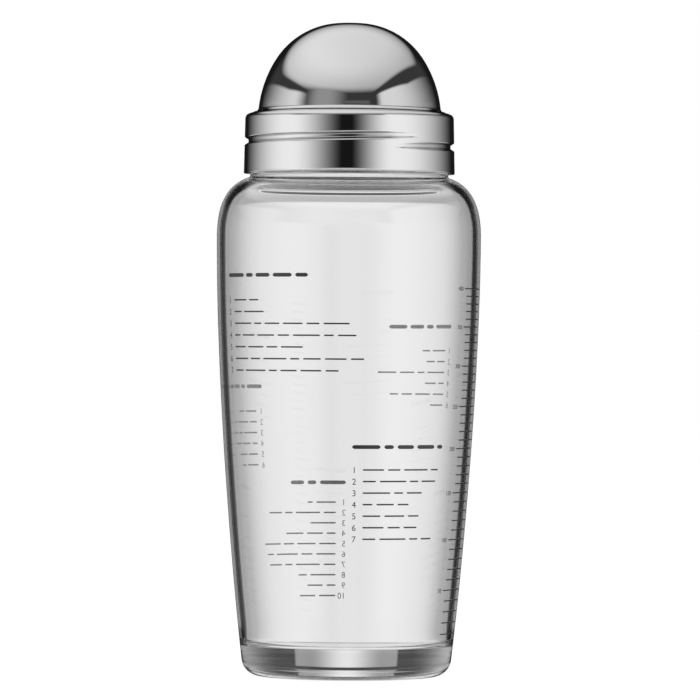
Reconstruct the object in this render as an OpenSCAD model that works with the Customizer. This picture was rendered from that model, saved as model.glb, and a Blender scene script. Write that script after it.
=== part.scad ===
// Salad dressing shaker: a glass bottle with a steel screw collar, a pourer and a domed steel cap
// Millimetres, +Z up. The bottle stands on z = 0 and is round about the Z axis. The front is -Y.

/* [Glass bottle] */
// Outer radius of the glass at the belly, its widest place
belly_r = 40; // [38:0.5:43]
// Height of the belly above the table
belly_h = 133; // [128:1:136]
// Outer radius of the glass just above the heel
heel_r = 31.75; // [29:0.25:35]
// Rounding of the heel
heel_round = 5.5; // [3:0.5:7]
// Lean of the wall above the heel, in degrees from upright
heel_lean = 6.7; // [3:0.1:10]
// Height of the shoulder, from the belly up to where it turns into the neck
shoulder_h = 17.75; // [16:0.25:19.5]
// Outer radius of the neck
neck_r = 30; // [27:0.5:32]
// Rounding between the shoulder and the neck
neck_round = 0.5; // [0.3:0.1:1]
// Length of the neck, from the shoulder to the rim
neck_l = 16.25; // [15:0.25:20]
// Rounding of the rim's edges
rim_round = 0.8; // [0.4:0.1:1.1]
// Thickness of the glass wall
wall = 2.4; // [2:0.1:3]
// Thickness of the glass in the base, at its edge
base_t = 9.5; // [7:0.5:12]
// Rounding between the inside floor and the wall
floor_round = 2.5; // [2:0.5:6]
// Rise of the inside floor at its middle
floor_rise = 1; // [0.5:0.1:2]
// Inner radius of the ring that the bottle stands on
foot_r = 21; // [16:0.5:23]
// Depth of the hollow under the base
push_up = 2.5; // [1:0.25:4]

/* [Screw thread] */
// Rise of the thread in one turn
thread_pitch = 3.2; // [3.15:0.05:3.6]
// How far the thread's ends lie over each other, in degrees round the neck
thread_overlap = 20; // [0:1:30]
// Angle of the thread's start, counted from +X
thread_start = -67; // [-180:1:180]
// Degrees over which each end of the thread runs out
run_out = 32; // [20:2:60]
// Width of the rolled groove at the face of the collar
groove_w = 2.7; // [2.6:0.1:3]
// Width of the groove's floor
groove_floor_w = 0.9; // [0.7:0.1:1]
// Play between the rolled bead and the neck
bead_play = 0.3; // [0.2:0.05:0.45]
// Height of the groove's start above the collar's lower edge
groove_h = 7.5; // [6:0.25:8]
// Height of the glass ridge that the groove hooks under
ridge_h = 0.75; // [0.6:0.05:0.85]
// Width of the glass ridge at the neck
ridge_w = 1.6; // [1.3:0.1:1.7]
// Width of the glass ridge at its crest
ridge_crest_w = 0.5; // [0.3:0.1:0.5]
// Play between the rolled bead and the glass ridge
thread_play = 0.18; // [0.12:0.02:0.24]

/* [Screw collar] */
// Thickness of the steel sheet
sheet = 0.35; // [0.3:0.05:0.4]
// Gap between the neck and the inside of the skirt, at the skirt's top
skirt_gap = 1.25; // [1.15:0.05:1.5]
// How much wider the skirt is at its lower edge, in radius
skirt_flare = 0.35; // [0.3:0.05:0.6]
// Height of the skirt's lower edge above the glass shoulder
skirt_clear = 1.25; // [1:0.25:2]
// Width of the sloping shoulder
shoulder_w = 2.7; // [2.4:0.1:3]
// Width of the flat ledge that the dome stands on
ledge_w = 4.4; // [3:0.2:6]
// Slope of the shoulder outside the ledge, in degrees
shoulder_slope = 18; // [12:1:24]
// Rounding of the shoulder's edge
shoulder_round = 1.6; // [1.2:0.1:2]

/* [Pourer] */
// Thickness of the flange that lies on the glass rim
flange_t = 2.1; // [2:0.1:3]
// Gap between the flange's edge and the collar
flange_gap = 0.8; // [0.6:0.1:1.2]
// Gap between the flange and the collar's top sheet
flange_play = 0.1; // [0.1:0.05:0.3]
// Gap between the plug and the inside of the neck
plug_gap = 0.3; // [0.2:0.05:0.5]
// Length of the plug inside the neck
plug_l = 8; // [7:0.5:9]
// Wall of the plug
plug_wall = 1.4; // [1.2:0.1:1.8]
// Thickness of the deck round the spout
deck_t = 1.6; // [1.2:0.1:2]
// Outer radius of the spout
spout_r = 16; // [13:0.5:18]
// Height of the spout above the deck
spout_h = 12.5; // [11:0.5:14]
// Wall of the spout
spout_wall = 1.6; // [1.4:0.1:2]
// How far the pouring lip stands out from the spout
lip_out = 1.2; // [0.8:0.1:1.4]
// Height of the pouring lip
lip_h = 2.4; // [2:0.1:3]
// Rounding of the spout's bore where it meets the deck
funnel_round = 3; // [1:0.5:4]

/* [Strainer] */
// Thickness of the strainer plate
strainer_t = 0.6; // [0.4:0.1:1]
// Height of the strainer above the plug's lower edge
strainer_up = 1.6; // [1.4:0.1:2.5]
// Diameter of a strainer hole
hole_d = 2.2; // [1.5:0.1:2.6]
// Distance between the rings of holes
hole_pitch = 4.3; // [3.8:0.1:6]
// Width of the strainer's solid edge
strainer_edge = 1.5; // [1:0.1:3]

/* [Seals] */
// Thickness of the silicone gasket on the rim
gasket_t = 1; // [0.8:0.1:1.5]
// Thickness of the silicone ring round the spout
o_ring_d = 1.6; // [1.4:0.1:1.8]
// Height of the silicone ring above the deck
o_ring_up = 5.5; // [5:0.25:6.5]
// Thickness of the silicone disc that closes the spout
seal_t = 1.2; // [0.8:0.1:2]

/* [Dome cap] */
// How far the dome's foot stands in from the edge of the ledge
foot_inset = 0.03; // [0:0.01:0.3]
// Rounding of the hollow between the dome's foot and its side
foot_round = 1.3; // [1:0.1:1.6]
// Height of the dome
dome_h = 26.95; // [25:0.05:31]
// Thickness of the dome's steel
dome_sheet = 0.5; // [0.4:0.1:0.8]
// Gap between the dome's foot and the collar
dome_gap = 0.1; // [0.1:0.05:0.5]
// Lean of the dome's side above its foot, in degrees from upright
side_lean = 6.3; // [4:0.1:9]
// How far the dome's side draws in, up to the round of its crown
crown_inset = 1.55; // [1.3:0.05:3]
// Radius of the small flat at the dome's top
crown_flat_r = 2.4; // [1:0.2:3]
// Wall of the plastic liner inside the dome
liner_wall = 1.4; // [1.2:0.1:2]
// Height that the liner reaches up the dome's side
liner_h = 7; // [4:0.5:9]

/* [Hidden] */
$fn = 96;

// Fits shared by the pieces
slip_fit = 0.1;
seat_fit = 0.05;

// Steps along a long curve, along a rounding, and round the thread in degrees
curve_steps = 14;
arc_steps = 6;
thread_step = 7.5;

// Reach of the handles that draw the bottle's outline, from the belly down and from the belly up
belly_pull_down = 39;
heel_pull = 34;
belly_pull_up = 10.5;
shoulder_pull = 6.4;
shoulder_lean = 18.5;

// Heights of the glass, and of the closure that is built up from its rim
neck_h = belly_h + shoulder_h;
rim_h = neck_h + neck_l;
flange_z = rim_h + gasket_t;
deck_z = flange_z + flange_t;
deck_under_z = deck_z - deck_t;
collar_top_z = deck_z + flange_play + sheet;
collar_z = neck_h + skirt_clear;
spout_z = deck_z + spout_h;
o_ring_z = deck_z + o_ring_up;
plug_z = flange_z - plug_l;
strainer_z = plug_z + strainer_up;
dome_z = collar_top_z + dome_gap;
dome_top_z = dome_z + dome_h;
web_z = spout_z + seal_t;
liner_z = dome_z + dome_sheet;

// Radii that follow from the neck, the spout and their fits
collar_top_r = neck_r + skirt_gap + sheet;
collar_r = collar_top_r + skirt_flare;
ledge_r = collar_top_r - shoulder_w;
collar_opening_r = ledge_r - ledge_w;
dome_foot_r = ledge_r - foot_inset;
mouth_r = neck_r - wall;
plug_r = mouth_r - plug_gap;
plug_bore_r = plug_r - plug_wall;
strainer_r = plug_bore_r - slip_fit;
hole_rings = floor((strainer_r - strainer_edge - hole_d / 2) / hole_pitch);
spout_bore_r = spout_r - spout_wall;
lip_r = spout_r + lip_out;
o_ring_r = spout_r + seat_fit + o_ring_d / 2;
socket_r = max(lip_r, o_ring_r + o_ring_d / 2) + slip_fit;
socket_out_r = socket_r + liner_wall;
flange_r = collar_top_r - sheet - flange_gap;

// Small forms moulded into the pourer and the liner
plug_chamfer = 0.8;
lip_round = 0.6;
spout_root_round = 1.2;
seat_w = 1;
seat_h = 1;
snap_w = 0.35;
snap_h = 1;
rib_out = 0.8;
rib_h = 0.7;
edge_chamfer = 0.3;

// Radius of the small flat where a surface of the glass crosses the axis
pole_r = 1.5;

// Points of an arc, from one angle to another
function arc_points(centre, r, from, to, n = arc_steps) =
    [for (i = [0 : n]) let (a = from + (to - from) * i / n) centre + r * [cos(a), sin(a)]];

// Points of a curve from a to d, drawn by the handles b and c
function curve_points(a, b, c, d, n = curve_steps) =
    [for (i = [0 : n]) let (t = i / n, s = 1 - t)
        s * s * s * a + 3 * s * s * t * b + 3 * s * t * t * c + t * t * t * d];

// A path turned end for end, and a path without its first or its last point
function reversed(path) = [for (i = [len(path) - 1 : -1 : 0]) path[i]];
function tail(path) = [for (i = [1 : len(path) - 1]) path[i]];
function head(path) = [for (i = [0 : len(path) - 2]) path[i]];

// A path moved by d to its left, with mitred corners
function left_of(a, b) = [a[1] - b[1], b[0] - a[0]] / norm(b - a);
function offset_path(path, d) =
    let (last = len(path) - 1)
    [for (i = [0 : last]) let (
        before = left_of(path[max(i - 1, 0)], path[max(i, 1)]),
        after = left_of(path[min(i, last - 1)], path[min(i + 1, last)]),
        mitre = before + after)
        path[i] + d * mitre * 2 / (mitre * mitre)];

// Outline of the glass from the heel up to the rim, and the inside that follows it
heel_centre = [heel_r - heel_round * cos(heel_lean), heel_round];
heel_top = heel_centre + heel_round * [cos(heel_lean), -sin(heel_lean)];
belly = [belly_r, belly_h];
neck_centre = [neck_r + neck_round, neck_h + neck_round * cos(shoulder_lean)];
neck_foot = neck_centre - neck_round * [sin(shoulder_lean), cos(shoulder_lean)];
lower_wall = curve_points(heel_top, heel_top + heel_pull * [tan(heel_lean), 1],
    belly - [0, belly_pull_down], belly);
upper_wall = curve_points(belly, belly + [0, belly_pull_up],
    neck_foot + shoulder_pull * [cos(shoulder_lean), -sin(shoulder_lean)], neck_foot);
neck_turn = arc_points(neck_centre, neck_round, 270 - shoulder_lean, 180, 3);
glass_side = concat(lower_wall, tail(upper_wall), tail(neck_turn), [[neck_r, rim_h - rim_round]]);
glass_inside = [for (p = offset_path(glass_side, wall)) if (p[1] > base_t + floor_round) p];

// Outline of the collar's outer face, from its lower edge up over the shoulder to the opening
shoulder_centre_r = collar_top_r - shoulder_round;
shoulder_centre_z = collar_top_z - shoulder_round * cos(shoulder_slope)
    - (shoulder_centre_r + shoulder_round * sin(shoulder_slope) - ledge_r) * tan(shoulder_slope);
collar_face = concat(
    [[collar_r, collar_z]],
    arc_points([shoulder_centre_r, shoulder_centre_z], shoulder_round, 0, 90 - shoulder_slope),
    [[ledge_r, collar_top_z], [collar_opening_r, collar_top_z]]
);
function skirt_r(z) = lookup(z, [[collar_z, collar_r], [shoulder_centre_z, collar_top_r]]);

// Outline of the dome's outer face, three arcs that meet smoothly: hollow foot, side and crown
lean = [cos(side_lean), sin(side_lean)];
foot_centre = [dome_foot_r, dome_z + foot_round];
side_foot = foot_centre - foot_round * lean;
dome_top = [0, dome_top_z];
crown_round = side_foot[0] - crown_flat_r - crown_inset;
crown_centre = dome_top + [crown_flat_r, -crown_round];
to_side = side_foot - crown_centre;
side_round = (to_side * to_side - crown_round * crown_round) / 2 / (to_side * lean - crown_round);
side_centre = side_foot - side_round * lean;
to_crown = crown_centre - side_centre;
crown_turn = atan2(to_crown[1], to_crown[0]);
dome_face = concat(
    arc_points(foot_centre, foot_round, 270, 180 + side_lean),
    tail(arc_points(side_centre, side_round, side_lean, crown_turn)),
    tail(arc_points(crown_centre, crown_round, crown_turn, 90, 2 * arc_steps)),
    [dome_top]
);

// The dome's inside runs straight down to the foot's lower face
side_bore = side_round - dome_sheet;
bore_lean = asin((dome_z - side_centre[1]) / side_bore);
dome_inside = concat(
    arc_points(side_centre, side_bore, bore_lean, crown_turn),
    tail(arc_points(crown_centre, crown_round - dome_sheet, crown_turn, 90, 2 * arc_steps)),
    [dome_top - [0, dome_sheet]]
);
function dome_bore_r(z) = lookup(z, [for (p = dome_inside) [p[1], p[0]]]);

// The rolled groove and the glass ridge hook into each other, so the ridge's height follows from both
thread_turn = 360 + thread_overlap;
groove_z = collar_z + groove_h;
groove_depth = skirt_r(groove_z) - sheet - neck_r - bead_play;
groove_flank = (groove_w - groove_floor_w) / 2 / groove_depth;
ridge_crest_depth = skirt_r(groove_z) - neck_r - ridge_h;
bead_at_crest = groove_floor_w / 2 + (groove_depth - ridge_crest_depth) * groove_flank
    + sheet * sqrt(1 + groove_flank * groove_flank);
ridge_z = groove_z + bead_at_crest + ridge_crest_w / 2 + thread_play;

// At its ends the thread fades to just under the face that it stands on
end_depth = 0.06;
ridge_root = 0.3;
groove_mouth = 0.3;

// Half of the groove's section: how deep and how far out each corner lies, as shares
groove_corners = [[0, 1], [0.09, 0.86], [0.91, 0.1], [1, -0.12]];
function groove_path(fade) = let (
    floor_half = groove_floor_w / 2,
    edge_half = groove_w / 2 * (0.5 + 0.5 * fade),
    half = [for (c = groove_corners) [
        end_depth * (1 - fade) - groove_depth * fade * c[0],
        floor_half + (edge_half - floor_half) * c[1]]])
    concat(half, [for (p = reversed(half)) [p[0], -p[1]]]);

// Sections of the thread as [distance from the face, height] pairs, from full at 1 to run out at 0
function groove_section(fade) = let (path = groove_path(fade))
    concat(path, [[groove_mouth, -path[0][1]], [groove_mouth, path[0][1]]]);
function bead_section(fade) = let (path = offset_path(groove_path(fade), -sheet))
    concat(path, [[-sheet * 0.3, -path[0][1]], [-sheet * 0.3, path[0][1]]]);
function ridge_section(fade) = let (
    rise = ridge_h * fade - end_depth * (1 - fade),
    root_half = ridge_w / 2 * (0.5 + 0.5 * fade),
    crest_half = ridge_crest_w / 2)
    [[-ridge_root, root_half], [-ridge_root, -root_half], [rise, -crest_half], [rise, crest_half]];

// A solid that follows the thread. face_r(z) is the radius of the face that section(fade) counts from.
module thread_sweep(start_z, face_r, section) {
    n = ceil(thread_turn / thread_step);
    rings = [for (i = [0 : n]) let (
        a = thread_turn * i / n,
        z = start_z + thread_pitch * a / 360,
        run = min(1, a / run_out, (thread_turn - a) / run_out))
        [for (p = section((1 - cos(180 * run)) / 2)) let (r = face_r(z) + p[0])
            [r * cos(thread_start + a), r * sin(thread_start + a), z + p[1]]]];
    k = len(rings[0]);
    sides = [for (i = [0 : n - 1], j = [0 : k - 1]) let (here = i * k + j, next = i * k + (j + 1) % k)
        each [[here, next, next + k], [here, next + k, here + k]]];
    first_end = [for (j = [1 : k - 2]) [0, j + 1, j]];
    last_end = [for (j = [1 : k - 2]) [n * k, n * k + j, n * k + j + 1]];
    polyhedron([for (ring = rings) each ring], concat(sides, first_end, last_end));
}

// Blown glass bottle: a thick base with a hollow foot, a belly, a round shoulder and a threaded neck
module glass_bottle() {
    foot = [foot_r, 0];
    foot_top = [pole_r, push_up];
    foot_hollow = curve_points(foot_top, foot_top + [foot_r / 2, 0],
        foot + [-foot_r, push_up] / 4, foot, arc_steps);
    floor_centre = [glass_inside[0][0] - floor_round, base_t + floor_round];
    floor_edge = floor_centre - [0, floor_round];
    floor_top = [pole_r, base_t + floor_rise];
    floor_half = [floor_edge[0] / 2, 0];
    floor_crown = curve_points(floor_edge, floor_edge - floor_half,
        floor_top + floor_half, floor_top, arc_steps);
    rim_outer = [neck_r - rim_round, rim_h - rim_round];
    rim_inner = [mouth_r + rim_round, rim_h - rim_round];
    outline = concat(
        [[0, push_up]],
        foot_hollow,
        arc_points(heel_centre, heel_round, 270, 360 - heel_lean),
        tail(glass_side),
        tail(arc_points(rim_outer, rim_round, 0, 90)),
        arc_points(rim_inner, rim_round, 90, 180),
        tail(reversed(glass_inside)),
        reversed(arc_points(floor_centre, floor_round, 270, 360)),
        tail(floor_crown),
        [[0, base_t + floor_rise]]
    );
    color("gainsboro", 0.4) {
        rotate_extrude() polygon(outline);
        thread_sweep(ridge_z, function(z) neck_r, function(fade) ridge_section(fade));
    }
}

// Deep-drawn steel collar: a skirt with one rolled turn of thread, a sloping shoulder and an open top
module screw_collar() {
    color("silver") difference() {
        union() {
            rotate_extrude() polygon(concat(collar_face, reversed(offset_path(collar_face, sheet))));
            thread_sweep(groove_z, function(z) skirt_r(z), function(fade) bead_section(fade));
        }
        thread_sweep(groove_z, function(z) skirt_r(z), function(fade) groove_section(fade));
    }
}

// Moulded pourer: a flange on the rim, a plug in the neck, a deck and a spout with a pouring lip
module pourer() {
    flange_edge_z = deck_z - (flange_r - ledge_r) * tan(shoulder_slope);
    rib_r = spout_r + rib_out;
    rib_z = [for (s = [-1, 1]) o_ring_z + s * (o_ring_d / 2 + slip_fit)];
    seat_z = strainer_z + strainer_t + seat_fit;
    snap_z = strainer_z - seat_fit;
    outside = concat(
        [[plug_r - plug_chamfer, plug_z], [plug_r, plug_z + plug_chamfer], [plug_r, flange_z]],
        [[flange_r, flange_z], [flange_r, flange_edge_z - edge_chamfer]],
        [[flange_r - edge_chamfer, flange_edge_z], [ledge_r, deck_z]],
        reversed(arc_points([spout_r, deck_z] + spout_root_round * [1, 1], spout_root_round, 180, 270)),
        [[spout_r, rib_z[0] - rib_h], [rib_r, rib_z[0] - rib_h / 2], [rib_r, rib_z[0]]],
        [[spout_r, rib_z[0]], [spout_r, rib_z[1]]],
        [[rib_r, rib_z[1]], [rib_r, rib_z[1] + rib_h / 2], [spout_r, rib_z[1] + rib_h]],
        [[spout_r, spout_z - lip_h], [lip_r, spout_z - lip_h / 2]],
        arc_points([lip_r, spout_z] - lip_round * [1, 1], lip_round, 0, 90)
    );
    inside = concat(
        arc_points([spout_bore_r + lip_round, spout_z - lip_round], lip_round, 90, 180),
        arc_points([spout_bore_r, deck_under_z] + funnel_round * [1, 1], funnel_round, 180, 270),
        [[plug_bore_r, deck_under_z], [plug_bore_r, seat_z + seat_h]],
        [[plug_bore_r - seat_w, seat_z + seat_h / 2], [plug_bore_r - seat_w, seat_z]],
        [[plug_bore_r, seat_z], [plug_bore_r, snap_z]],
        [[plug_bore_r - snap_w, snap_z - snap_w], [plug_bore_r, snap_z - snap_h], [plug_bore_r, plug_z]]
    );
    color("whitesmoke") rotate_extrude() polygon(concat(outside, inside));
}

// Steel plate with rings of holes, snapped into the plug
module strainer() {
    color("darkgray") difference() {
        translate([0, 0, strainer_z]) cylinder(r = strainer_r, h = strainer_t);
        for (ring = [0 : hole_rings], i = [0 : max(6 * ring, 1) - 1])
            rotate([0, 0, 60 * i / max(ring, 1)])
                translate([ring * hole_pitch, 0, strainer_z - strainer_t])
                    cylinder(d = hole_d, h = 3 * strainer_t, $fn = 24);
    }
}

// Flat silicone ring between the glass rim and the pourer's flange
module rim_gasket() {
    color("dimgray") rotate_extrude()
        translate([plug_r + slip_fit, rim_h]) square([neck_r - plug_r - slip_fit, gasket_t]);
}

// Round silicone ring between two ribs of the spout, which the dome's liner slides over
module spout_o_ring() {
    color("dimgray") rotate_extrude() translate([o_ring_r, o_ring_z]) circle(d = o_ring_d);
}

// Deep-drawn steel dome
module dome_shell() {
    color("silver") rotate_extrude() polygon(concat(dome_face, reversed(dome_inside)));
}

// Moulded liner glued inside the dome: a ring along its side, a brim and a socket for the spout
module dome_liner() {
    top_z = liner_z + liner_h;
    side = concat(
        [[dome_bore_r(liner_z), liner_z]],
        [for (p = dome_inside) if (p[1] > liner_z && p[1] < top_z) p],
        [[dome_bore_r(top_z), top_z]]
    );
    outer = offset_path(side, seat_fit);
    inner = [for (p = offset_path(side, seat_fit + liner_wall)) if (p[1] > liner_z + liner_wall) p];
    color("whitesmoke") rotate_extrude() polygon(concat(
        [[0, web_z], [socket_r, web_z], [socket_r, liner_z]],
        outer,
        reversed(inner),
        [[inner[0][0], liner_z + liner_wall], [socket_out_r, liner_z + liner_wall]],
        [[socket_out_r, web_z + liner_wall / 2], [socket_out_r - liner_wall / 2, web_z + liner_wall]],
        [[0, web_z + liner_wall]]
    ));
}

// Silicone disc under the liner's web, which closes the spout
module dome_seal() {
    color("dimgray") translate([0, 0, spout_z]) cylinder(r = socket_r - slip_fit, h = seal_t);
}

glass_bottle();
screw_collar();
pourer();
strainer();
rim_gasket();
spout_o_ring();
dome_shell();
dome_liner();
dome_seal();
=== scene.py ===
import bpy
from math import asin, atan2, ceil, cos, degrees, hypot, pi, radians, sin, sqrt, tan
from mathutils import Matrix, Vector


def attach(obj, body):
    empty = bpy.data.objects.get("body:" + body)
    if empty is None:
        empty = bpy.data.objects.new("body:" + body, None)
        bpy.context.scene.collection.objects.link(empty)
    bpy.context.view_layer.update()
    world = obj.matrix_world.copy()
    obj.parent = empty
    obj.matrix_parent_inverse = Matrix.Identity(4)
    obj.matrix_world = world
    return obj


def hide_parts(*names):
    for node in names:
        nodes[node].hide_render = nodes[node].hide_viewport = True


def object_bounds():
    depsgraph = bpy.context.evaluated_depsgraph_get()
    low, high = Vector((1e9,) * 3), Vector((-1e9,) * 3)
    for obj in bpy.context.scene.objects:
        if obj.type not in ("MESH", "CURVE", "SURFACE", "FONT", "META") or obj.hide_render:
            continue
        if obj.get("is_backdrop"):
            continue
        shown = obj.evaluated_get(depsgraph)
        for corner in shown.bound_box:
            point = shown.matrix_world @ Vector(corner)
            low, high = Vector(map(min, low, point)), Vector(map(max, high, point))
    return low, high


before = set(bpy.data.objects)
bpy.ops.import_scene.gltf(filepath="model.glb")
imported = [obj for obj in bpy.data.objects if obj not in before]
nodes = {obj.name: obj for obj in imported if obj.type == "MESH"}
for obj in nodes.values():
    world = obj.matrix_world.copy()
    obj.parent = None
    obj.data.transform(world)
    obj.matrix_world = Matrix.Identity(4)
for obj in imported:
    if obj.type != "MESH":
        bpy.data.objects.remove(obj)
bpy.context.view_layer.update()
MM = 0.001

# The studio: a pale floor and soft white light all round, without hard lamps.
# A large soft box hangs overhead, one stands at each side, and a narrow white screen stands behind.
# Between them the room is dark, which draws the dark edges of the glass and the bands in the steel.


def linear(hex_colour, alpha=1.0):
    """An sRGB hex colour as linear light."""
    shares = [int(hex_colour[i : i + 2], 16) / 255 for i in (0, 2, 4)]
    return [*(c / 12.92 if c <= 0.04045 else ((c + 0.055) / 1.055) ** 2.4 for c in shares), alpha]


def add_node(tree, kind, settings=None, **inputs):
    """A node with its settings. An input is a number, a colour, or the output of another node."""
    node = tree.nodes.new(kind)
    for key, value in (settings or {}).items():
        setattr(node, key, value)
    for key, value in inputs.items():
        socket = node.inputs[int(key[1:])] if key[1:].isdigit() else node.inputs[key.replace("_", " ")]
        if isinstance(value, bpy.types.NodeSocket):
            tree.links.new(value, socket)
        else:
            socket.default_value = value
    return node


def maths(tree, operation, *values):
    """The result of a Math node."""
    inputs = {f"i{i}": value for i, value in enumerate(values)}
    return add_node(tree, "ShaderNodeMath", {"operation": operation}, **inputs).outputs[0]


def fade(tree, value, start, end):
    """0 at start and 1 at end, with a smooth change between them."""
    ramp = add_node(
        tree, "ShaderNodeMapRange", {"interpolation_type": "SMOOTHSTEP"},
        Value=value, From_Min=start, From_Max=end,
    )
    return ramp.outputs[0]


world = bpy.data.worlds.new("studio")
bpy.context.scene.world = world
world.use_nodes = True
tree = world.node_tree
tree.nodes.clear()
direction = add_node(tree, "ShaderNodeTexCoord").outputs["Generated"]
split = add_node(tree, "ShaderNodeSeparateXYZ", Vector=direction)
right, back, up = split.outputs

# Overhead box, seen as a round sheet at height 1 with a soft rim, cut straight at its left and right.
# It is brightest in its middle and a little brighter to the left.
height = maths(tree, "MAXIMUM", up, 0.001)
across = maths(tree, "DIVIDE", right, height)
along = maths(tree, "DIVIDE", back, height)
reach = maths(tree, "SQRT", maths(tree, "ADD", maths(tree, "MULTIPLY", across, across),
    maths(tree, "MULTIPLY", along, along)))
overhead = maths(tree, "ADD", maths(tree, "MULTIPLY", fade(tree, reach, 2.14, 1.48), 0.7),
    maths(tree, "MULTIPLY", fade(tree, reach, 1.73, 0.53), 0.35))
overhead = maths(tree, "MULTIPLY", overhead, maths(tree, "MULTIPLY_ADD", across, -0.15, 1))
right_cut = fade(tree, maths(tree, "MULTIPLY_ADD", along, -0.12, across), 1.36, 1.18)
overhead = maths(tree, "MULTIPLY", maths(tree, "MULTIPLY", overhead, right_cut),
    fade(tree, across, -1.9, -1.66))
rear_loss = maths(tree, "MULTIPLY", fade(tree, along, 0.6, 1.9), -0.4)
overhead = maths(tree, "MULTIPLY", overhead, maths(tree, "ADD", rear_loss, 1))

# Side boxes, by azimuth from the camera's side, each up to the height of its upper edge
nearer = maths(tree, "MULTIPLY", back, -1)
azimuth = maths(tree, "ARCTAN2", right, nearer)
side_reach = maths(tree, "MULTIPLY_ADD", maths(tree, "MAXIMUM", nearer, 0), 0.33,
    maths(tree, "ABSOLUTE", right))
steep = maths(tree, "DIVIDE", up, maths(tree, "MAXIMUM", side_reach, 0.001))
low = fade(tree, up, sin(radians(13)), sin(radians(8)))


def side_box(side, near_start, near_end, far_start, far_end, high_start, high_end, edge):
    """Light of the soft box on one side, -1 left or 1 right, narrower and dimmer in its upper part."""
    turn = maths(tree, "MULTIPLY", azimuth, side)
    near = fade(tree, turn, radians(near_start), radians(near_end))
    far = fade(tree, turn, radians(far_end), radians(far_start))
    upper = maths(tree, "MAXIMUM", fade(tree, turn, radians(high_start), radians(high_end)), low)
    under = fade(tree, steep, edge + 0.03, edge - 0.03)
    box = maths(tree, "MULTIPLY", maths(tree, "MULTIPLY", near, far), maths(tree, "MULTIPLY", upper, under))
    return maths(tree, "MULTIPLY", box, maths(tree, "MULTIPLY_ADD", low, 0.27, 1.03))


left_box = side_box(-1, 5, 66, 72, 157, 52, 78, 0.42)
right_box = side_box(1, 0, 49, 57, 155, 33, 44, 0.53)
sides = maths(tree, "MAXIMUM", left_box, right_box)

# Two dim walls on the camera's side, above the height of its lens
high = maths(tree, "SUBTRACT", 1, low)
wall_left = maths(tree, "MULTIPLY", fade(tree, azimuth, radians(-68), radians(-40)),
    fade(tree, azimuth, radians(6), radians(-30)))
wall_middle = maths(tree, "MULTIPLY", fade(tree, azimuth, radians(-20), radians(-10)),
    fade(tree, azimuth, radians(32), radians(22)))
wall_middle = maths(tree, "MULTIPLY", wall_middle, fade(tree, up, sin(radians(22)), sin(radians(16))))
walls = maths(tree, "MAXIMUM", maths(tree, "MULTIPLY", wall_left, 0.42),
    maths(tree, "MULTIPLY", wall_middle, 0.2))
walls = maths(tree, "MULTIPLY", walls, high)

# White screen behind the bottle, low and narrow, bright in its middle and dim towards its edges.
# Only light that goes through the glass sees it, so the outlines of glass and steel stay dark.
path = add_node(tree, "ShaderNodeLightPath")
from_back = maths(tree, "SUBTRACT", pi, maths(tree, "ABSOLUTE", azimuth))
screen_edge = maths(tree, "MULTIPLY", fade(tree, from_back, radians(21), radians(19.5)), 0.3)
screen_middle = maths(tree, "MULTIPLY", fade(tree, from_back, radians(14), radians(0)), 0.58)
screen = maths(tree, "MULTIPLY", maths(tree, "ADD", screen_edge, screen_middle), fade(tree, up, 0.14, 0.1))
entered = maths(tree, "GREATER_THAN", path.outputs["Transmission Depth"], 0.5)
screen = maths(tree, "MULTIPLY", screen, entered)

# The white table all round, as it is seen from above, and the dark of the room, deepest at the back
table = maths(tree, "MULTIPLY", fade(tree, up, sin(radians(-14)), sin(radians(-24))), 0.8)
dark = maths(tree, "MULTIPLY", fade(tree, from_back, radians(28), radians(48)), high)
dark = maths(tree, "MULTIPLY_ADD", dark, 0.043, 0.012)
room = maths(tree, "MAXIMUM", maths(tree, "MAXIMUM", overhead, sides), maths(tree, "MAXIMUM", screen, walls))
room = maths(tree, "MAXIMUM", maths(tree, "MAXIMUM", room, table), dark)

# Light that has crossed both walls of the bottle is bright from all sides
crossed = maths(tree, "GREATER_THAN", path.outputs["Transmission Depth"], 3.5)
front = maths(tree, "MULTIPLY", fade(tree, maths(tree, "ABSOLUTE", azimuth), radians(24), radians(6)), 0.85)
below = maths(tree, "MULTIPLY", fade(tree, up, sin(radians(-6)), sin(radians(-14))), 0.85)
through = maths(tree, "MAXIMUM", maths(tree, "MAXIMUM", front, below), 0.42)
room = maths(tree, "MAXIMUM", room, maths(tree, "MULTIPLY", through, crossed))

# Glass shows the boxes dimmer than the white screen, so that it stays clear against a white table
room = maths(tree, "MINIMUM", room, maths(tree, "MULTIPLY_ADD", entered, -0.5, 1.38))
seen = maths(tree, "MAXIMUM", room, path.outputs["Is Camera Ray"])
backdrop = add_node(tree, "ShaderNodeBackground", Color=linear("FFFFFF"), Strength=seen)
add_node(tree, "ShaderNodeOutputWorld", Surface=backdrop.outputs[0])

bpy.ops.object.select_all(action="DESELECT")
bpy.ops.mesh.primitive_plane_add(size=6)
floor = bpy.context.object
floor.name = "floor"
floor_material = bpy.data.materials.new("white_table")
floor_material.use_nodes = True
shader = floor_material.node_tree.nodes["Principled BSDF"]
shader.inputs["Base Color"].default_value = linear("606060")
shader.inputs["Roughness"].default_value = 0.9
shader.inputs["Specular IOR Level"].default_value = 0
shader.inputs["Emission Color"].default_value = linear("FFFFFF")
shader.inputs["Emission Strength"].default_value = 0.95
floor.data.materials.append(floor_material)
floor.visible_glossy = False
floor.visible_transmission = False
floor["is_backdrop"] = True

# Camera: level, far off with a long lens, a little turned, as the photograph shows the bottle
PIXELS_PER_MM = 3.3
FRAME_PIXELS = 700
camera_distance = 1.603
camera_height = 98.6 * MM
camera_across = 0.55 * MM
camera_turn = radians(-0.35)
bpy.ops.object.camera_add(location=(camera_across, -camera_distance, camera_height),
    rotation=(pi / 2, camera_turn, 0))
camera = bpy.context.object
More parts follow.
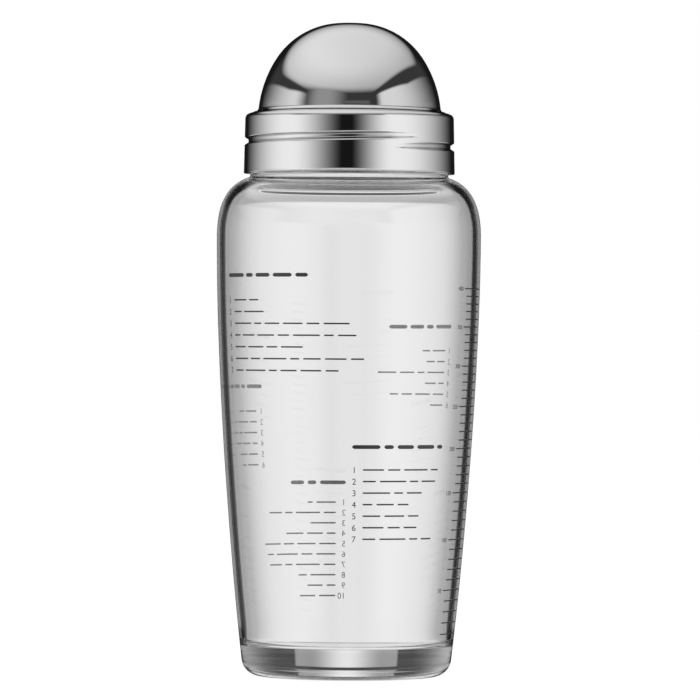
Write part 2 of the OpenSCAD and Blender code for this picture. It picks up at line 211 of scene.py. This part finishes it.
camera.data.lens = camera.data.sensor_width * camera_distance * PIXELS_PER_MM / MM / FRAME_PIXELS
camera.data.clip_start = 0.1
camera.data.clip_end = 20
bpy.context.scene.camera = camera
bpy.context.scene.view_settings.view_transform = "Standard"
bpy.context.scene.cycles.use_denoising = True
bpy.context.scene.cycles.max_bounces = 24
bpy.context.scene.cycles.transmission_bounces = 20
bpy.context.scene.cycles.glossy_bounces = 12
bpy.context.scene.cycles.caustics_reflective = True
bpy.context.scene.cycles.caustics_refractive = True


# Glass bottle: clear soda-lime glass, blown into a mould, with a thick base and a hollow foot.
# Its neck carries one turn of a moulded ridge, which the collar's rolled thread hooks under.


def arc(centre, radius, start, end, steps):
    """Points of an arc, by angles in degrees."""
    turns = [radians(start + (end - start) * i / steps) for i in range(steps + 1)]
    return [Vector(centre) + radius * Vector((cos(a), sin(a))) for a in turns]


def curve(a, b, c, d, steps):
    """Points of a curve from a to d, drawn by the handles b and c."""
    a, b, c, d = (Vector(p) for p in (a, b, c, d))
    shares = [i / steps for i in range(steps + 1)]
    return [(1 - t) ** 3 * a + 3 * (1 - t) ** 2 * t * b + 3 * (1 - t) * t * t * c + t ** 3 * d
            for t in shares]


def line(a, b, steps):
    """Evenly spaced points from a to b."""
    return [Vector(a).lerp(Vector(b), i / steps) for i in range(steps + 1)]


def joined(*paths):
    """Paths end to end, each without the point that it shares with the one before."""
    points = list(paths[0])
    for path in paths[1:]:
        points += [p for p in path if (p - points[-1]).length > 1e-6]
    return points


def inset(path, distance):
    """A path moved to its left, square to each stretch."""
    moved = []
    for i, point in enumerate(path):
        ahead = (path[min(i + 1, len(path) - 1)] - path[max(i - 1, 0)]).normalized()
        moved.append(point + distance * Vector((-ahead.y, ahead.x)))
    return moved


def turned(name, outline, columns=256, smooth_below=30):
    """A piece that is turned about the bottle's axis from its outline, radius and height in mm."""
    bpy.ops.object.select_all(action="DESELECT")
    bpy.ops.mesh.primitive_plane_add(size=MM)
    piece = bpy.context.object
    piece.name = piece.data.name = name
    bpy.ops.object.mode_set(mode="EDIT")
    bpy.ops.mesh.merge(type="CENTER")
    place = Vector((0, 0))
    for i, point in enumerate(outline):
        step = (point - place) * MM
        place = point
        move = {"value": (step.x, 0, step.y)}
        if i == 0:
            bpy.ops.transform.translate(**move)
        else:
            bpy.ops.mesh.extrude_region_move(TRANSFORM_OT_translate=move)
    bpy.ops.object.mode_set(mode="OBJECT")
    turn = piece.modifiers.new("turn", "SCREW")
    turn.angle = 2 * pi
    turn.steps = turn.render_steps = columns
    bpy.ops.object.modifier_apply(modifier="turn")
    bpy.ops.object.mode_set(mode="EDIT")
    bpy.ops.mesh.select_all(action="SELECT")
    bpy.ops.mesh.remove_doubles(threshold=MM / 1000)
    bpy.ops.mesh.normals_make_consistent(inside=False)
    bpy.ops.object.mode_set(mode="OBJECT")
    bpy.ops.object.shade_smooth_by_angle(angle=radians(smooth_below))
    return piece


# Driving sizes of the glass, in mm
belly_r, belly_h, heel_r, heel_round, heel_lean = 40, 133, 31.75, 5.5, 6.7
neck_r, neck_round, neck_h, rim_h, rim_round = 30, 0.5, 150.75, 167, 0.8
wall, base_t, floor_round, floor_rise, foot_r, push_up = 2.4, 9.5, 2.5, 1, 21, 2.5
shoulder_lean = 18.5
heel_centre = Vector((heel_r - heel_round * cos(radians(heel_lean)), heel_round))
heel_top = heel_centre + heel_round * Vector((cos(radians(heel_lean)), -sin(radians(heel_lean))))
belly = Vector((belly_r, belly_h))
neck_centre = Vector((neck_r + neck_round, neck_h + neck_round * cos(radians(shoulder_lean))))
neck_foot = neck_centre - neck_round * Vector((sin(radians(shoulder_lean)), cos(radians(shoulder_lean))))
lower_wall = curve(heel_top, heel_top + 34 * Vector((tan(radians(heel_lean)), 1)),
    belly - Vector((0, 39)), belly, 48)
upper_wall = curve(belly, belly + Vector((0, 10.5)),
    neck_foot + 6.4 * Vector((cos(radians(shoulder_lean)), -sin(radians(shoulder_lean)))), neck_foot, 32)
neck_turn = arc(neck_centre, neck_round, 270 - shoulder_lean, 180, 4)
neck_side = line((neck_r, neck_turn[-1].y), (neck_r, rim_h - rim_round), 64)
glass_side = joined(lower_wall, upper_wall, neck_turn, neck_side)
glass_inside = [p for p in inset(glass_side, wall) if p.y > base_t + floor_round]
mouth_r = neck_r - wall
floor_centre = Vector((glass_inside[0].x - floor_round, base_t + floor_round))
floor_edge = floor_centre - Vector((0, floor_round))
floor_half = Vector((floor_edge.x / 2, 0))
floor_top = Vector((0, base_t + floor_rise))
foot_top = Vector((0, push_up))
bottle_outline = joined(
    curve(foot_top, foot_top + Vector((foot_r / 2, 0)),
        Vector((foot_r * 0.75, push_up / 4)), Vector((foot_r, 0)), 16),
    arc(heel_centre, heel_round, 270, 360 - heel_lean, 16),
    glass_side,
    arc((neck_r - rim_round, rim_h - rim_round), rim_round, 0, 90, 6),
    arc((mouth_r + rim_round, rim_h - rim_round), rim_round, 90, 180, 6),
    glass_inside[::-1],
    arc(floor_centre, floor_round, 360, 270, 16),
    curve(floor_edge, floor_edge - floor_half, floor_top + floor_half, floor_top, 16),
)
bottle = turned("clear_bottle", bottle_outline, 256, 40)

# The thread, shared by the ridge on the glass and the groove in the collar
thread_pitch, thread_start, thread_turn, run_out = 3.2, -67, 380, 32


def thread_distance(angle, height, start_height):
    """Height above the middle of the thread, and how full the thread is there, from 1 to 0."""
    found = []
    for lap in (0, 360):
        along = (angle - thread_start) % 360 + lap
        run = min(1, along / run_out, (thread_turn - along) / run_out)
        if run > 0:
            found.append((height - start_height - thread_pitch * along / 360, (1 - cos(pi * run)) / 2))
    return found


ridge_z, ridge_h, ridge_half, ridge_crest_half = 160.91, 0.75, 0.8, 0.25
for v in bottle.data.vertices:
    radius, height = hypot(v.co.x, v.co.y) / MM, v.co.z / MM
    if abs(radius - neck_r) < 0.01 and height > neck_h + 2:
        for away, full in thread_distance(degrees(atan2(v.co.y, v.co.x)), height, ridge_z):
            share = min(1, max(0, (ridge_half - abs(away)) / (ridge_half - ridge_crest_half)))
            grow = 1 + ridge_h * full * share / radius
            v.co.x, v.co.y = v.co.x * grow, v.co.y * grow


def material(name):
    """A new material, its node tree and its shader."""
    made = bpy.data.materials.new(name)
    made.use_nodes = True
    return made, made.node_tree, made.node_tree.nodes["Principled BSDF"]


# Clear soda-lime glass from a polished mould: even and smooth, with a slow waviness that bends reflections
glass, tree, shader = material("clear_soda_lime_glass")
shader.inputs["Base Color"].default_value = linear("FDFDFD")
shader.inputs["Roughness"].default_value = 0
shader.inputs["IOR"].default_value = 1.52
shader.inputs["Transmission Weight"].default_value = 1
place = add_node(tree, "ShaderNodeTexCoord").outputs["Object"]
wave = add_node(tree, "ShaderNodeTexNoise", Vector=place, Scale=1 / (22 * MM), Detail=1.0)
bump = add_node(tree, "ShaderNodeBump", Strength=0.25, Distance=0.06 * MM, Height=wave.outputs["Fac"])
tree.links.new(bump.outputs["Normal"], shader.inputs["Normal"])
depth = add_node(tree, "ShaderNodeVolumeAbsorption", Color=linear("E6E6E6"), Density=3.0)
tree.links.new(depth.outputs[0], tree.nodes["Material Output"].inputs["Volume"])
bottle.data.materials.clear()
bottle.data.materials.append(glass)
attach(bottle, "bottle")
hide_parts("glass_bottle")


# Printed scale: ceramic ink, screen-printed on the outside of the glass and fired on.
# A mark stands where the inside holds 10 ml more, up to 400 ml. Each fifth is longer and has its number.
INK_OUT, INK_T = 0.02, 0.06


def radius_at(path, height):
    """Radius of an upright outline at a height."""
    low, high = next((pair for pair in zip(path, path[1:]) if pair[1].y > height), path[-2:])
    return low.x + (high.x - low.x) * (height - low.y) / (high.y - low.y)


def ink_bar(left, height, length, thick):
    """A flat stroke with round ends, before it is laid on the glass."""
    bpy.ops.object.select_all(action="DESELECT")
    bpy.ops.mesh.primitive_grid_add(x_subdivisions=max(3, ceil(length)), y_subdivisions=4, size=2)
    piece = bpy.context.object
    for v in piece.data.vertices:
        above = v.co.y * thick / 2
        reach = length / 2 - thick / 2 + sqrt(max(0, thick * thick / 4 - above * above))
        v.co = Vector((left + length / 2 + v.co.x * reach, height + above, 0)) * MM
    return piece


def ink_number(text, left, height, tall, align):
    """A plain number as a flat mesh, before it is laid on the glass."""
    bpy.ops.object.select_all(action="DESELECT")
    bpy.ops.object.text_add()
    letters = bpy.context.object.data
    letters.body = text
    letters.align_x = align
    letters.size = tall / 0.73 * MM
    bpy.ops.object.convert(target="MESH")
    piece = bpy.context.object
    for v in piece.data.vertices:
        v.co += Vector((left, height - tall / 2, 0)) * MM
    return piece


def print_on_glass(name, strokes, turn):
    """Lays flat strokes on the glass, with their zero line at an angle from the front."""
    bpy.ops.object.select_all(action="DESELECT")
    for stroke in strokes:
        stroke.select_set(True)
    bpy.context.view_layer.objects.active = strokes[0]
    bpy.ops.object.join()
    piece = strokes[0]
    piece.name = piece.data.name = name
    for v in piece.data.vertices:
        height = v.co.y / MM
        radius = radius_at(glass_side, height)
        angle = radians(turn) + v.co.x / MM / radius
        v.co = Vector((radius * sin(angle), -radius * cos(angle), height)) * MM
    solid = piece.modifiers.new("ink", "SOLIDIFY")
    solid.thickness = INK_T * MM
    solid.offset = 2 * INK_OUT / INK_T - 1
    bpy.ops.object.modifier_apply(modifier="ink")
    piece.data.materials.clear()
    piece.data.materials.append(ink)
    piece.data.materials.append(ink_back_painted_light)
    # Faces towards the axis take the ink's underside, a painted lighter grey that stands in for light seen
    # through the glass
    for face in piece.data.polygons:
        if face.normal.x * face.center.x + face.normal.y * face.center.y < 0:
            face.material_index = 1
    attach(piece, "bottle")


def ceramic_ink(name, colour):
    """Fired ceramic ink: a little uneven in its thickness, with a soft gloss."""
    made, tree, shader = material(name)
    place = add_node(tree, "ShaderNodeTexCoord").outputs["Object"]
    speckle = add_node(tree, "ShaderNodeTexNoise", Vector=place, Scale=1 / (0.4 * MM), Detail=3.0)
    shade = add_node(tree, "ShaderNodeMix", {"data_type": "RGBA"}, i0=speckle.outputs["Fac"],
        i6=linear(colour), i7=[c * 1.35 for c in linear(colour)[:3]] + [1])
    tree.links.new(shade.outputs[2], shader.inputs["Base Color"])
    shader.inputs["Roughness"].default_value = 0.38
    bump = add_node(tree, "ShaderNodeBump", Strength=0.3, Distance=0.01 * MM, Height=speckle.outputs["Fac"])
    tree.links.new(bump.outputs["Normal"], shader.inputs["Normal"])
    return made


# Black ceramic ink, fired on at about 600 degrees. Its underside against the glass is the same ink given a
# lighter grey: painted light, so that it looks lit when seen through the glass.
ink = ceramic_ink("fired_ceramic_ink", "262626")
ink_back_painted_light = ceramic_ink("ceramic_ink_painted_light_under_glass", "9A9A9A")

MARK_VOLUME = 10000
top_mark_h, marks, mark_l, long_mark_l, mark_t = 117.2, 40, 12.9, 14.1, 0.35
scale_turn, number_h, number_gap = 81.5, 1.35, 0.9
strokes = []
height = top_mark_h
for mark in range(marks, 0, -1):
    long = mark % 5 == 0
    length = long_mark_l if long else mark_l
    strokes.append(ink_bar(-length, height, length, mark_t))
    if long:
        strokes.append(ink_number(str(10 * mark), -length - number_gap, height, number_h, "RIGHT"))
    step = MARK_VOLUME / (pi * radius_at(glass_inside, height) ** 2)
    if mark > 1:
        height -= MARK_VOLUME / (pi * radius_at(glass_inside, height - step / 2) ** 2)
print_on_glass("volume_scale", strokes, scale_turn)


# Printed panels: five lists round the bottle, of the same fired ink, each with a heading above its lines.
# A line is a plain number and a row of strokes, and stands in for words.
line_t, heading_t, line_number_h, indent = 0.45, 1.15, 1.9, 3.2
STROKE_LENGTHS, STROKE_GAP, SHORTEST = (6.5, 4, 8.5, 3, 5.5), 1.2, 1.5


def stroke_row(left, height, length, thick, first):
    """A row of strokes with gaps between them, as long as a printed line."""
    row = []
    place, turn = left, first
    while left + length - place > SHORTEST:
        stroke = min(STROKE_LENGTHS[turn % len(STROKE_LENGTHS)], left + length - place)
        row.append(ink_bar(place, height, stroke, thick))
        place += stroke + STROKE_GAP
        turn += 1
    return row


def panel(name, turn, heading_z, heading_l, first_z, pitch, lengths):
    """One printed list, with its left margin at an angle from the front."""
    strokes = stroke_row(0, heading_z, heading_l, heading_t, 2)
    for i, length in enumerate(lengths):
        height = first_z - pitch * i
        strokes.append(ink_number(str(i + 1), 0, height, line_number_h, "LEFT"))
        strokes += stroke_row(indent, height, length - indent, line_t, i)
    print_on_glass(name, strokes, turn)


panel("panel_front_left", -64, 120.8, 32.4, 113.4, 3.5, (16.4, 16.9, 44.5, 48, 30.1, 48.6, 42.6))
panel("panel_front_right", 2.1, 69.9, 30.6, 63.1, 3.43, (31, 30.3, 22.5, 17.8, 21.4, 20.7, 26.3))
panel("panel_back_right", 121, 105.9, 27.5, 98.5, 3.35, (14.2, 12.3, 32.8, 12.5, 25.8, 12.1))
panel("panel_back_middle", 180.8, 57.6, 18.8, 51.5, 3.2,
    (12.7, 28.6, 12.7, 22.2, 30.2, 29.8, 28.1, 17.9, 12.7, 15.4))
panel("panel_back_left", 227, 87.2, 25, 79.6, 3.3, (17, 21, 22, 20, 16, 14))


# Rim ring: a flat ring of moulded silicone, which the closure presses on the rim of the glass.
# It is stretched over the pourer's plug and stays under its flange.


def softened(path, radius):
    """A closed outline with its sharp corners rounded, as far as the stretches beside them allow."""
    points = []
    for i, corner in enumerate(path):
        before, after = path[i - 1] - corner, path[(i + 1) % len(path)] - corner
        opening = before.angle(after)
        if corner.x < radius or pi - opening < SHARP:
            points.append(corner)
            continue
        reach = min(radius / tan(opening / 2), 0.45 * before.length, 0.45 * after.length)
        start, end = corner + reach * before.normalized(), corner + reach * after.normalized()
        points += curve(start, start.lerp(corner, 0.55), end.lerp(corner, 0.55), end, 3)
    return points


def ring(name, path, radius):
    """A moulded piece that is turned from a closed outline with soft corners."""
    points = softened([Vector(p) for p in path], radius)
    if points[0].x > radius:
        points.append(points[0])
    return turned(name, points, 192, 50)


def dress(piece, finish, body, node):
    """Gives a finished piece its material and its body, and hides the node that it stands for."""
    piece.data.materials.clear()
    piece.data.materials.append(finish)
    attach(piece, body)
    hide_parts(node)


# Moulded food-grade silicone: a milky grey with a dull, slightly dusty skin that scatters a little light
silicone, tree, shader = material("moulded_silicone")
place = add_node(tree, "ShaderNodeTexCoord").outputs["Object"]
dust = add_node(tree, "ShaderNodeTexNoise", Vector=place, Scale=1 / (0.7 * MM), Detail=4.0)
shade = add_node(tree, "ShaderNodeMix", {"data_type": "RGBA"}, i0=dust.outputs["Fac"],
    i6=linear("8F8F8D"), i7=linear("A6A6A3"))
dullness = add_node(tree, "ShaderNodeMapRange", Value=dust.outputs["Fac"], To_Min=0.45, To_Max=0.65)
bump = add_node(tree, "ShaderNodeBump", Strength=0.2, Distance=0.02 * MM, Height=dust.outputs["Fac"])
tree.links.new(shade.outputs[2], shader.inputs["Base Color"])
tree.links.new(dullness.outputs[0], shader.inputs["Roughness"])
tree.links.new(bump.outputs["Normal"], shader.inputs["Normal"])
shader.inputs["IOR"].default_value = 1.41
shader.inputs["Subsurface Weight"].default_value = 0.15
shader.inputs["Subsurface Radius"].default_value = (1, 1, 1)
shader.inputs["Subsurface Scale"].default_value = 0.8 * MM

SHARP = radians(20)
slip_fit, gasket_t, plug_r = 0.1, 1, 27.3
flange_z = rim_h + gasket_t
gasket_r = plug_r + slip_fit
gasket = ring("silicone_rim_ring",
    [(gasket_r, rim_h), (neck_r, rim_h), (neck_r, flange_z), (gasket_r, flange_z)], 0.3)
dress(gasket, silicone, "closure", "rim_gasket")


# Pourer: one white polypropylene moulding. Its flange lies on the rim ring and its plug fills the neck.
# Its spout has a pouring lip and two ribs that hold a silicone ring, and its plug has a seat for the strainer.
plug_bore_r, plug_z, plug_chamfer = 25.9, 160, 0.8
flange_r, edge_chamfer, ledge_r, shoulder_slope = 30.45, 0.3, 28.9, 18
deck_z, deck_under_z, funnel_round = 170.1, 168.5, 3
spout_r, spout_bore_r, spout_z, root_round = 16, 14.4, 182.6, 1.2
lip_r, lip_h, lip_round, rib_r, rib_h = 17.2, 2.4, 0.6, 16.8, 0.7
o_ring_z, o_ring_d = 175.6, 1.6
strainer_z, strainer_t, seat_fit = 161.6, 0.6, 0.05
seat_w, seat_h, snap_w, snap_h = 1, 1, 0.35, 1
flange_edge_z = deck_z - (flange_r - ledge_r) * tan(radians(shoulder_slope))
low_rib_z = o_ring_z - o_ring_d / 2 - slip_fit
high_rib_z = o_ring_z + o_ring_d / 2 + slip_fit
seat_z = strainer_z + strainer_t + seat_fit
snap_z = strainer_z - seat_fit
pourer = ring("moulded_pourer", [
    (plug_r - plug_chamfer, plug_z), (plug_r, plug_z + plug_chamfer), (plug_r, flange_z),
    (flange_r, flange_z), (flange_r, flange_edge_z - edge_chamfer),
    (flange_r - edge_chamfer, flange_edge_z), (ledge_r, deck_z),
    *arc((spout_r + root_round, deck_z + root_round), root_round, 270, 180, 8),
    (spout_r, low_rib_z - rib_h), (rib_r, low_rib_z - rib_h / 2), (rib_r, low_rib_z),
    (spout_r, low_rib_z), (spout_r, high_rib_z),
    (rib_r, high_rib_z), (rib_r, high_rib_z + rib_h / 2), (spout_r, high_rib_z + rib_h),
    (spout_r, spout_z - lip_h), (lip_r, spout_z - lip_h / 2),
    *arc((lip_r - lip_round, spout_z - lip_round), lip_round, 0, 90, 6),
    *arc((spout_bore_r + lip_round, spout_z - lip_round), lip_round, 90, 180, 6),
    *arc((spout_bore_r + funnel_round, deck_under_z + funnel_round), funnel_round, 180, 270, 12),
    (plug_bore_r, deck_under_z), (plug_bore_r, seat_z + seat_h),
    (plug_bore_r - seat_w, seat_z + seat_h / 2), (plug_bore_r - seat_w, seat_z),
    (plug_bore_r, seat_z), (plug_bore_r, snap_z), (plug_bore_r - snap_w, snap_z - snap_w),
    (plug_bore_r, snap_z - snap_h), (plug_bore_r, plug_z),
], 0.2)

# Moulded polypropylene: a soft, slightly waxy white with faint flow marks and the fine grain of its mould
white, tree, shader = material("moulded_polypropylene")
place = add_node(tree, "ShaderNodeTexCoord").outputs["Object"]
flow = add_node(tree, "ShaderNodeTexNoise", Vector=place, Scale=1 / (7 * MM), Detail=2.0)
grain = add_node(tree, "ShaderNodeTexNoise", Vector=place, Scale=1 / (0.25 * MM), Detail=3.0)
shade = add_node(tree, "ShaderNodeMix", {"data_type": "RGBA"}, i0=flow.outputs["Fac"],
    i6=linear("F0F0EE"), i7=linear("FAFAF8"))
dullness = add_node(tree, "ShaderNodeMapRange", Value=grain.outputs["Fac"], To_Min=0.32, To_Max=0.48)
bump = add_node(tree, "ShaderNodeBump", Strength=0.25, Distance=0.012 * MM, Height=grain.outputs["Fac"])
tree.links.new(shade.outputs[2], shader.inputs["Base Color"])
tree.links.new(dullness.outputs[0], shader.inputs["Roughness"])
tree.links.new(bump.outputs["Normal"], shader.inputs["Normal"])
shader.inputs["IOR"].default_value = 1.49
shader.inputs["Subsurface Weight"].default_value = 0.1
shader.inputs["Subsurface Radius"].default_value = (1, 1, 1)
shader.inputs["Subsurface Scale"].default_value = 0.6 * MM
dress(pourer, white, "closure", "pourer")


# Strainer: a round plate of stainless steel sheet, punched with rings of holes.
# It is snapped up past a bead into the pourer's plug, and the solid of the frame shows it.

# Rolled stainless steel sheet: bright but not polished, with the fine straight lines of the rollers
rolled_steel, tree, shader = material("rolled_stainless_sheet")
place = add_node(tree, "ShaderNodeTexCoord").outputs["Object"]
drawn = add_node(tree, "ShaderNodeMapping", Vector=place, Scale=(0.04, 1, 1))
rolled = add_node(tree, "ShaderNodeTexNoise", Vector=drawn.outputs[0], Scale=1 / (0.3 * MM), Detail=3.0)
shade = add_node(tree, "ShaderNodeMix", {"data_type": "RGBA"}, i0=rolled.outputs["Fac"],
    i6=linear("B9B9BA"), i7=linear("CBCBCC"))
dullness = add_node(tree, "ShaderNodeMapRange", Value=rolled.outputs["Fac"], To_Min=0.18, To_Max=0.34)
bump = add_node(tree, "ShaderNodeBump", Strength=0.2, Distance=0.01 * MM, Height=rolled.outputs["Fac"])
tree.links.new(shade.outputs[2], shader.inputs["Base Color"])
tree.links.new(dullness.outputs[0], shader.inputs["Roughness"])
tree.links.new(bump.outputs["Normal"], shader.inputs["Normal"])
shader.inputs["Metallic"].default_value = 1
nodes["strainer"].data.materials.clear()
nodes["strainer"].data.materials.append(rolled_steel)


# Spout ring: a round silicone ring between the two ribs of the spout, which the cap's liner slides over.
# Its friction holds the domed cap on.
o_ring_r = spout_r + seat_fit + o_ring_d / 2
spout_ring = turned("silicone_spout_ring", arc((o_ring_r, o_ring_z), o_ring_d / 2, 0, 360, 24), 192, 50)
dress(spout_ring, silicone, "closure", "spout_o_ring")


# Screw collar: one thin sheet of stainless steel, deep drawn and mirror polished.
# Its thread is rolled in as a groove that climbs once round the skirt and fades at both ends.
sheet = 0.35
collar_z, collar_top_z = 152, 170.55
collar_r, collar_top_r = 31.95, 31.6
collar_opening_r = 24.5
shoulder_round = 1.6
groove_z, groove_depth, groove_half, groove_floor_half = 159.5, 1.15, 1.35, 0.45
shoulder_centre = Vector((collar_top_r - shoulder_round, collar_top_z
    - shoulder_round * cos(radians(shoulder_slope))
    - (collar_top_r - shoulder_round + shoulder_round * sin(radians(shoulder_slope)) - ledge_r)
    * tan(radians(shoulder_slope))))
groove_low, groove_high = groove_z - 2, groove_z + thread_pitch + 2


def skirt_point(height):
    """A point of the skirt's outside at a height."""
    share = (height - collar_z) / (shoulder_centre.y - collar_z)
    return Vector((collar_r + (collar_top_r - collar_r) * share, height))


collar_outline = joined(
    line(skirt_point(collar_z), skirt_point(groove_low), 6),
    line(skirt_point(groove_low), skirt_point(groove_high), 56),
    line(skirt_point(groove_high), skirt_point(shoulder_centre.y), 6),
    arc(shoulder_centre, shoulder_round, 0, 90 - shoulder_slope, 12),
    line((ledge_r, collar_top_z), (collar_opening_r, collar_top_z), 4),
)
collar = turned("rolled_collar", collar_outline, 360, 60)
for v in collar.data.vertices:
    radius, height = hypot(v.co.x, v.co.y) / MM, v.co.z / MM
    for away, full in thread_distance(degrees(atan2(v.co.y, v.co.x)), height, groove_z):
        half = groove_half * (0.5 + 0.5 * full)
        share = min(1, max(0, (half - abs(away)) / (half - groove_floor_half * 0.8)))
        shrink = 1 - groove_depth * full * share * share * (3 - 2 * share) / radius
        v.co.x, v.co.y = v.co.x * shrink, v.co.y * shrink
solid = collar.modifiers.new("sheet", "SOLIDIFY")
solid.thickness = sheet * MM
solid.offset = -1
solid.use_even_offset = True
bpy.context.view_layer.objects.active = collar
bpy.ops.object.modifier_apply(modifier="sheet")

# Mirror-polished stainless steel: near white, with a trace of the drawing and polishing left in it
steel, tree, shader = material("polished_stainless_steel")
shader.inputs["Base Color"].default_value = linear("CFCFD0")
shader.inputs["Metallic"].default_value = 1
shader.inputs["Roughness"].default_value = 0.04
place = add_node(tree, "ShaderNodeTexCoord").outputs["Object"]
wave = add_node(tree, "ShaderNodeTexNoise", Vector=place, Scale=1 / (9 * MM), Detail=2.0)
bump = add_node(tree, "ShaderNodeBump", Strength=0.15, Distance=0.02 * MM, Height=wave.outputs["Fac"])
tree.links.new(bump.outputs["Normal"], shader.inputs["Normal"])
dress(collar, steel, "collar", "screw_collar")


# Domed cap: deep-drawn stainless steel, mirror polished, with a flared foot that stands on the collar.
dome_sheet = 0.5
dome_foot_r, foot_round, dome_z, dome_top_z = 28.87, 1.3, 170.65, 197.6
crown_flat_r, crown_inset, side_lean = 2.4, 1.55, 6.3
lean = Vector((cos(radians(side_lean)), sin(radians(side_lean))))
foot_centre = Vector((dome_foot_r, dome_z + foot_round))
side_foot = foot_centre - foot_round * lean
crown_round = side_foot.x - crown_flat_r - crown_inset
crown_centre = Vector((crown_flat_r, dome_top_z - crown_round))
to_side = side_foot - crown_centre
side_round = (to_side.dot(to_side) - crown_round ** 2) / 2 / (to_side.dot(lean) - crown_round)
side_centre = side_foot - side_round * lean
to_crown = crown_centre - side_centre
crown_turn = degrees(atan2(to_crown.y, to_crown.x))
bore_lean = degrees(asin((dome_z - side_centre.y) / (side_round - dome_sheet)))
dome_outline = joined(
    [Vector((0, dome_top_z))],
    arc(crown_centre, crown_round, 90, crown_turn, 48),
    arc(side_centre, side_round, crown_turn, side_lean, 24),
    arc(foot_centre, foot_round, 180 + side_lean, 270, 12),
    arc(side_centre, side_round - dome_sheet, bore_lean, crown_turn, 24),
    arc(crown_centre, crown_round - dome_sheet, crown_turn, 90, 48),
    [Vector((0, dome_top_z - dome_sheet))],
)
dome = turned("domed_cap", dome_outline, 256, 50)
dress(dome, steel, "dome", "dome_shell")


# Liner: a white polypropylene moulding, glued inside the dome along its lower edge.
# Its socket slides over the spout and its ring, and its web presses the seal on the spout.
socket_r, liner_wall, liner_h, seal_t = 17.75, 1.4, 7, 1.2
liner_z = dome_z + dome_sheet
web_z = spout_z + seal_t
socket_out_r = socket_r + liner_wall
side_bore = side_round - dome_sheet
brim_z = liner_z + liner_wall
liner_out = side_bore - seat_fit
liner_in = liner_out - liner_wall
top_lean = degrees(asin((liner_z + liner_h - side_centre.y) / side_bore))
out_lean = degrees(asin((liner_z - side_centre.y) / liner_out))
in_lean = degrees(asin((brim_z - side_centre.y) / liner_in))
liner = ring("moulded_liner", [
    (0, web_z), (socket_r, web_z), (socket_r, liner_z),
    *arc(side_centre, liner_out, out_lean, top_lean, 12),
    *arc(side_centre, liner_in, top_lean, in_lean, 12),
    (socket_out_r, brim_z), (socket_out_r, web_z + liner_wall / 2),
    (socket_out_r - liner_wall / 2, web_z + liner_wall), (0, web_z + liner_wall),
], 0.3)
dress(liner, white, "dome", "dome_liner")


# Seal: a disc of moulded silicone under the liner's web.
# It closes the spout when the domed cap is pressed on.
seal_r = socket_r - slip_fit
seal = ring("silicone_spout_seal", [(0, spout_z), (seal_r, spout_z), (seal_r, web_z), (0, web_z)], 0.35)
dress(seal, silicone, "dome", "dome_seal")

low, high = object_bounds()
